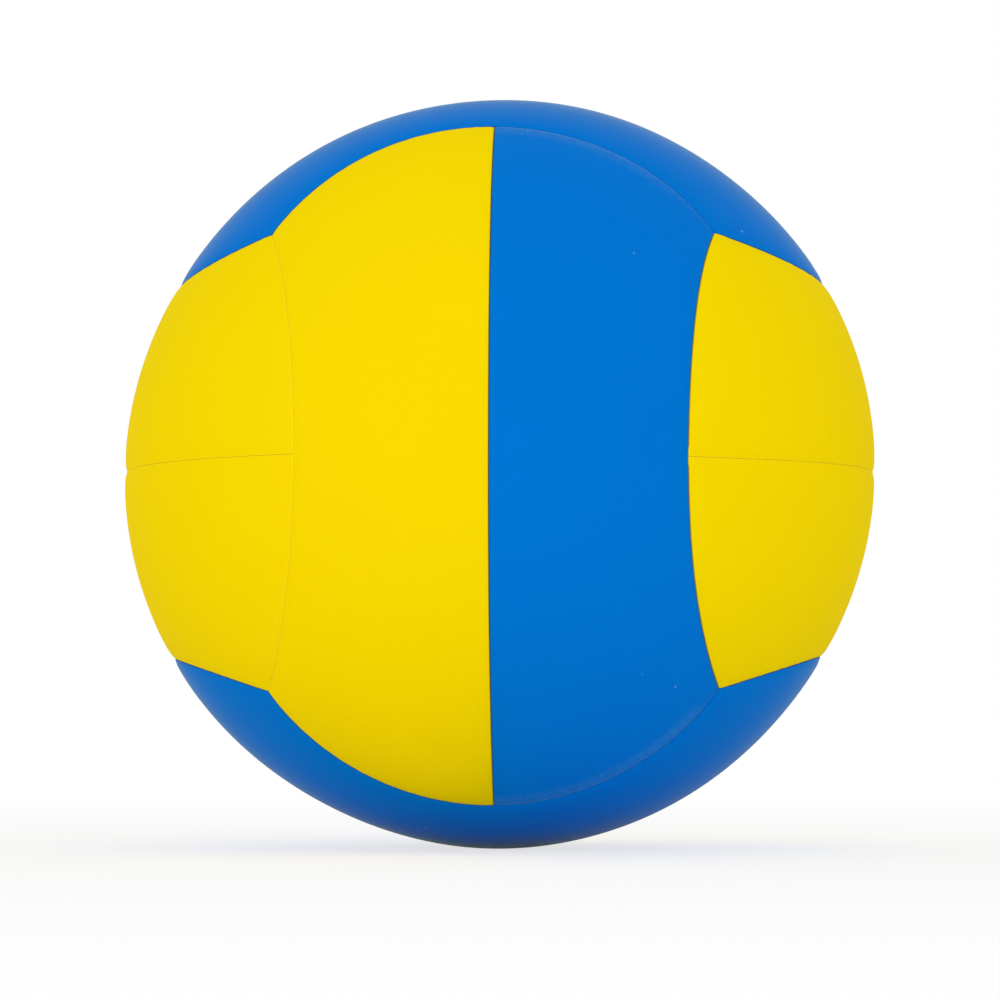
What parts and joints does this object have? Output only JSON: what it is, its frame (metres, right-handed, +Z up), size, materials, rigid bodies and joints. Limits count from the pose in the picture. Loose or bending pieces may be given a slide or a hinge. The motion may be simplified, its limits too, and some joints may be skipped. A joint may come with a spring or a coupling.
{
  "type": "volleyball",
  "caption": "Round inflated ball of foam cover panels sewn inside out over a rubber bladder, with a needle valve for the pump.",
  "frame": {"origin": "centre of the ball", "axes": "-Y towards the camera through the front face's middle seam, +X the ball's right side in the picture, +Z up; the valve lies behind, at 14.6 degrees from +Y towards +X"},
  "size_m": [0.2094, 0.2094, 0.2094],
  "materials": {
    "yellow_foam": "matte closed-cell foam with a fine grain",
    "blue_foam": "matte closed-cell foam with a fine grain",
    "lining_cloth": "plain woven cloth",
    "thread": "twisted thread",
    "bladder_rubber": "smooth, slightly dusty",
    "patch_rubber": "smooth",
    "valve_rubber": "smooth, satin",
    "patch_cloth": "plain woven cloth"
  },
  "bodies": {
    "root": {"panel_front_left": "yellow_foam", "panel_front_right": "blue_foam", "panel_back_left": "blue_foam", "panel_back_right": "yellow_foam", "panel_left_upper": "yellow_foam", "panel_left_lower": "yellow_foam", "panel_right_upper": "yellow_foam", "panel_right_lower": "yellow_foam", "panel_top_front": "blue_foam", "panel_top_back": "blue_foam", "panel_bottom_front": "blue_foam", "panel_bottom_back": "blue_foam", "lining_front_left": "lining_cloth", "lining_front_right": "lining_cloth", "lining_back_left": "lining_cloth", "lining_back_right": "lining_cloth", "lining_left_upper": "lining_cloth", "lining_left_lower": "lining_cloth", "lining_right_upper": "lining_cloth", "lining_right_lower": "lining_cloth", "lining_top_front": "lining_cloth", "lining_top_back": "lining_cloth", "lining_bottom_front": "lining_cloth", "lining_bottom_back": "lining_cloth", "thread_front_middle": "thread", "thread_back_middle": "thread", "thread_left_middle": "thread", "thread_right_middle": "thread", "thread_top_middle": "thread", "thread_bottom_middle": "thread", "thread_front_top": "thread", "thread_front_bottom": "thread", "thread_back_top": "thread", "thread_back_bottom": "thread", "thread_left_front": "thread", "thread_left_back": "thread", "thread_right_front": "thread", "thread_right_back": "thread", "thread_top_left": "thread", "thread_top_right": "thread", "thread_bottom_left": "thread", "thread_bottom_right": "thread", "bladder": "bladder_rubber", "balance_patch": "patch_rubber", "valve_seat": "bladder_rubber", "valve_core": "valve_rubber", "valve_patch": "patch_cloth"}
  },
  "joints": []
}
